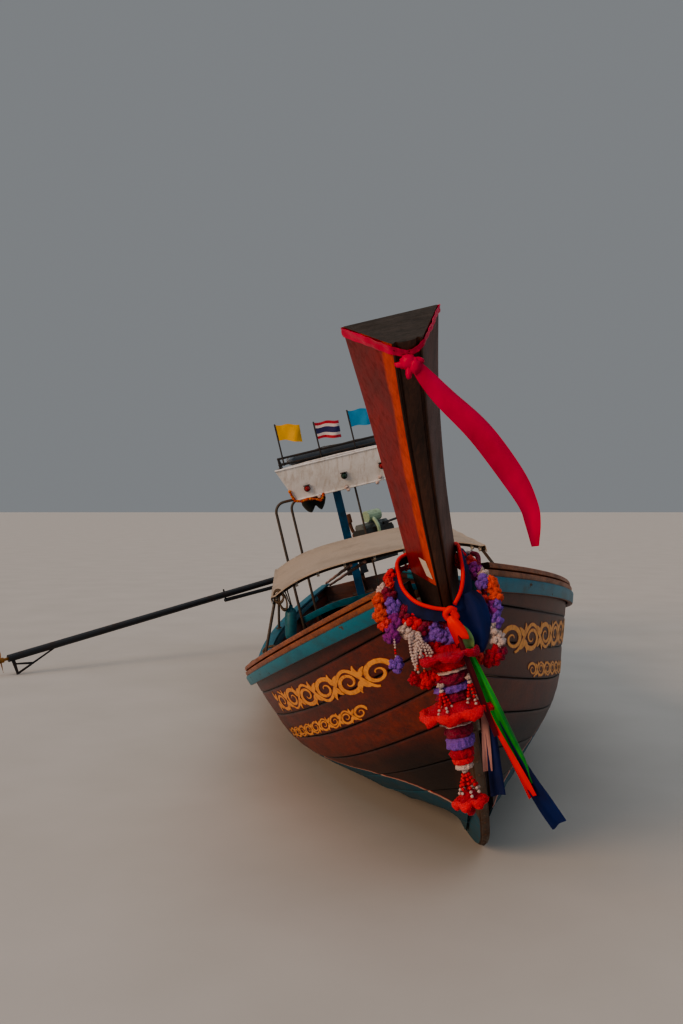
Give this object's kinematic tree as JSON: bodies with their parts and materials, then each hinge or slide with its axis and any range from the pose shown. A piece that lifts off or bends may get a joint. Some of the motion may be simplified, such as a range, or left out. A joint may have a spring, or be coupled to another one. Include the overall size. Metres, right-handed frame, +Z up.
{
  "type": "longtail boat",
  "caption": "Wooden longtail boat with a garlanded upswept prow, low and high canopies, and an engine with a long swinging tail shaft, lying on its bilge.",
  "frame": {"origin": "middle of the bounding box on the floor", "axes": "+Z up, the bow points to -Y, starboard to -X, the boat heels to starboard"},
  "size_m": [5.076, 10.7886, 2.781],
  "materials": {
    "varnished_planks": "red-brown varnish, worn satin",
    "rail_timber": "orange-brown varnish, satin",
    "dark_timber": "dark, dry, weathered",
    "grey_timber": "bare, grey, matt",
    "painted_prow": "red-orange paint, chipped satin",
    "rail_paint": "teal-blue paint, worn satin",
    "bottom_paint": "blue antifouling, chalky matt",
    "stem_iron": "dark, rust-bloomed",
    "canopy_cloth": "cream canvas, stained",
    "white_board": "white paint, scuffed satin",
    "steel_pipe": "galvanised, dull",
    "black_iron": "black paint, oily",
    "cast_block": "oily dark grey",
    "bronze": "tarnished",
    "cover_enamel": "grey enamel, scratched",
    "deck_rope": "frayed, dirty",
    "tarpaulin": "faded blue-grey",
    "blue_gloss": "blue paint, satin",
    "pink_ribbon": "satin ribbon",
    "yarn_flowers": "fluffy matt yarn",
    "garland_yarn": "fluffy matt yarn",
    "sash_cloth": "thin dyed cloth",
    "yellow_flag_cloth": "faded",
    "striped_flag_cloth": "faded",
    "blue_flag_cloth": "faded"
  },
  "bodies": {
    "hull": {"keel": "bottom_paint", "stem": "dark_timber", "prow_post": "painted_prow", "stem_band": "stem_iron", "garboard_starboard": "bottom_paint", "bilge_strake_starboard": "varnished_planks", "side_strake_starboard": "varnished_planks", "sheer_strake_starboard": "varnished_planks", "garboard_port": "bottom_paint", "bilge_strake_port": "varnished_planks", "side_strake_port": "varnished_planks", "sheer_strake_port": "varnished_planks", "cap_rail_starboard": "rail_timber", "rub_rail_starboard": "rail_paint", "inwale_starboard": "rail_paint", "cap_rail_port": "rail_timber", "rub_rail_port": "rail_paint", "inwale_port": "rail_paint", "transom": "dark_timber", "frames": "dark_timber", "floorboards": "grey_timber", "foredeck": "grey_timber", "thwart_1": "grey_timber", "thwart_2": "grey_timber", "thwart_3": "grey_timber", "thwart_4": "grey_timber", "thwart_5": "grey_timber", "stern_deck": "grey_timber", "engine_bed": "dark_timber", "front_canopy_frame": "steel_pipe", "front_canopy_cloth": "canopy_cloth", "rear_canopy_frame": "steel_pipe", "rear_canopy_roof": "white_board", "rear_canopy_front_board": "white_board", "roof_rack": "black_iron", "roof_tarpaulin": "tarpaulin", "blue_post": "blue_gloss", "flag_pole_yellow": "black_iron", "flag_yellow": "yellow_flag_cloth", "flag_pole_striped": "black_iron", "flag_striped": "striped_flag_cloth", "flag_pole_blue": "black_iron", "flag_blue": "blue_flag_cloth", "hung_bundle": "tarpaulin", "rope_lashing": "deck_rope", "prow_ribbon": "pink_ribbon", "garland_ring": "yarn_flowers", "hanging_garland": "garland_yarn", "bow_sashes": "sash_cloth"},
    "swivel": {"swivel_fork": "black_iron"},
    "engine": {"engine_block": "cast_block", "rocker_cover": "cover_enamel", "exhaust": "steel_pipe", "air_cleaner": "black_iron", "front_drive": "black_iron", "tail_tube": "black_iron", "skeg": "black_iron", "tiller": "steel_pipe"},
    "screw": {"propeller": "bronze"}
  },
  "joints": [
    {"name": "tail_swing", "type": "hinge", "parent": "hull", "child": "swivel", "pos_m": [1.28456, 4.53269, 1.07974], "axis": [-0.2351, 0, 0.972], "range_deg": [-190, 5]},
    {"name": "tail_tilt", "type": "hinge", "parent": "swivel", "child": "engine", "pos_m": [1.28456, 4.53269, 1.07974], "axis": [-0.5917, 0.7934, -0.1431], "range_deg": [-12, 6]},
    {"name": "propeller_spin", "type": "hinge", "parent": "engine", "child": "screw", "pos_m": [-2.49324, 1.54855, 0.15628], "axis": [-0.7707, -0.6088, -0.1884], "continuous": true}
  ]
}
